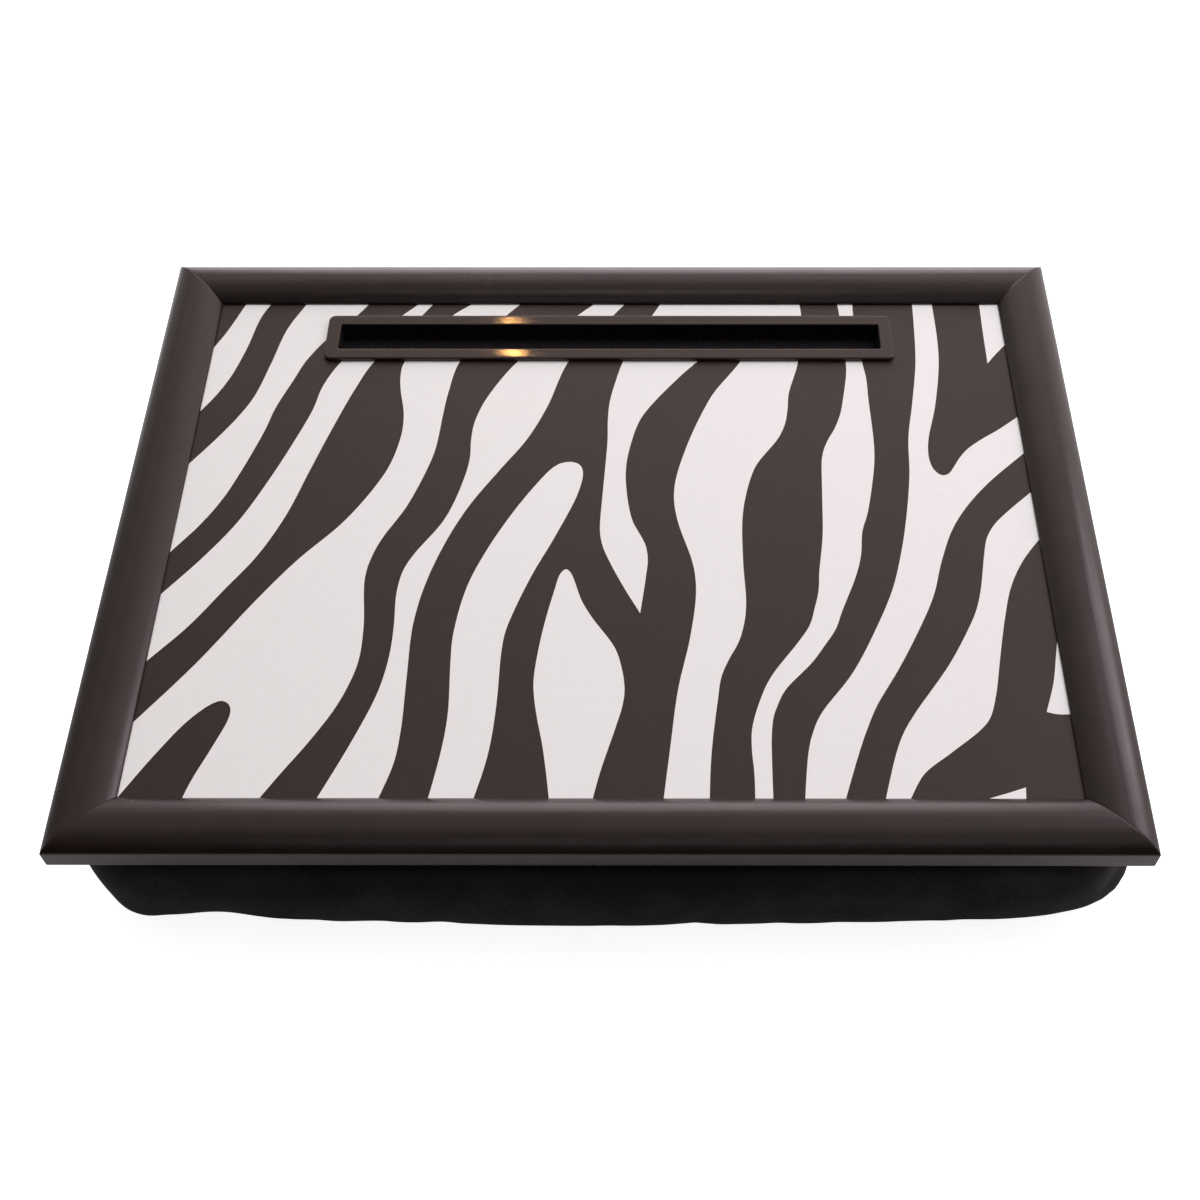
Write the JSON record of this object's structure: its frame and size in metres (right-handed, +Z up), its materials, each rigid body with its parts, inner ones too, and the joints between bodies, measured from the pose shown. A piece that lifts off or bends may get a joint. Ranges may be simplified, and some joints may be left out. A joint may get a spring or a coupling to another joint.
{
  "type": "lap tray with cushion",
  "caption": "Rectangular lap tray: black picture-frame rim round a zebra-print panel with a tablet slot, lifting off a black bean cushion.",
  "frame": {"origin": "middle of the cushion's flat base, on the surface that it lies on", "axes": "+X to the user's right along the long side, +Y away from the user towards the tablet slot, +Z up"},
  "size_m": [0.456, 0.346, 0.0751],
  "materials": {
    "moulding": "satin black foil",
    "steel": "bright",
    "print": "printed melamine",
    "bezel_plastic": "satin",
    "hook_tape": "hooks",
    "loop_tape": "loops",
    "cover": "plain weave",
    "beads": "matt"
  },
  "bodies": {
    "cushion": {"cushion_bowl": "cover", "cushion_top_sheet": "cover", "bead_filling": "beads", "loop_tape_front": "loop_tape", "loop_tape_right": "loop_tape", "loop_tape_back": "loop_tape", "loop_tape_left": "loop_tape"},
    "tray": {"front_rail": "moulding", "right_rail": "moulding", "back_rail": "moulding", "left_rail": "moulding", "printed_panel": "print", "tablet_well": "bezel_plastic", "hook_tape_front": "hook_tape", "hook_tape_right": "hook_tape", "hook_tape_back": "hook_tape", "hook_tape_left": "hook_tape", "v_nail_front_left_outer": "steel", "v_nail_front_left_inner": "steel", "v_nail_front_right_outer": "steel", "v_nail_front_right_inner": "steel", "v_nail_back_left_outer": "steel", "v_nail_back_left_inner": "steel", "v_nail_back_right_outer": "steel", "v_nail_back_right_inner": "steel", "framing_point_front_1": "steel", "framing_point_front_2": "steel", "framing_point_front_3": "steel", "framing_point_right_1": "steel", "framing_point_right_2": "steel", "framing_point_back_1": "steel", "framing_point_back_2": "steel", "framing_point_back_3": "steel", "framing_point_left_1": "steel", "framing_point_left_2": "steel"}
  },
  "joints": [
    {"name": "tray_lift_off", "type": "slide", "parent": "cushion", "child": "tray", "axis": [0, 0, 1], "range_m": [0, 0.08]}
  ]
}
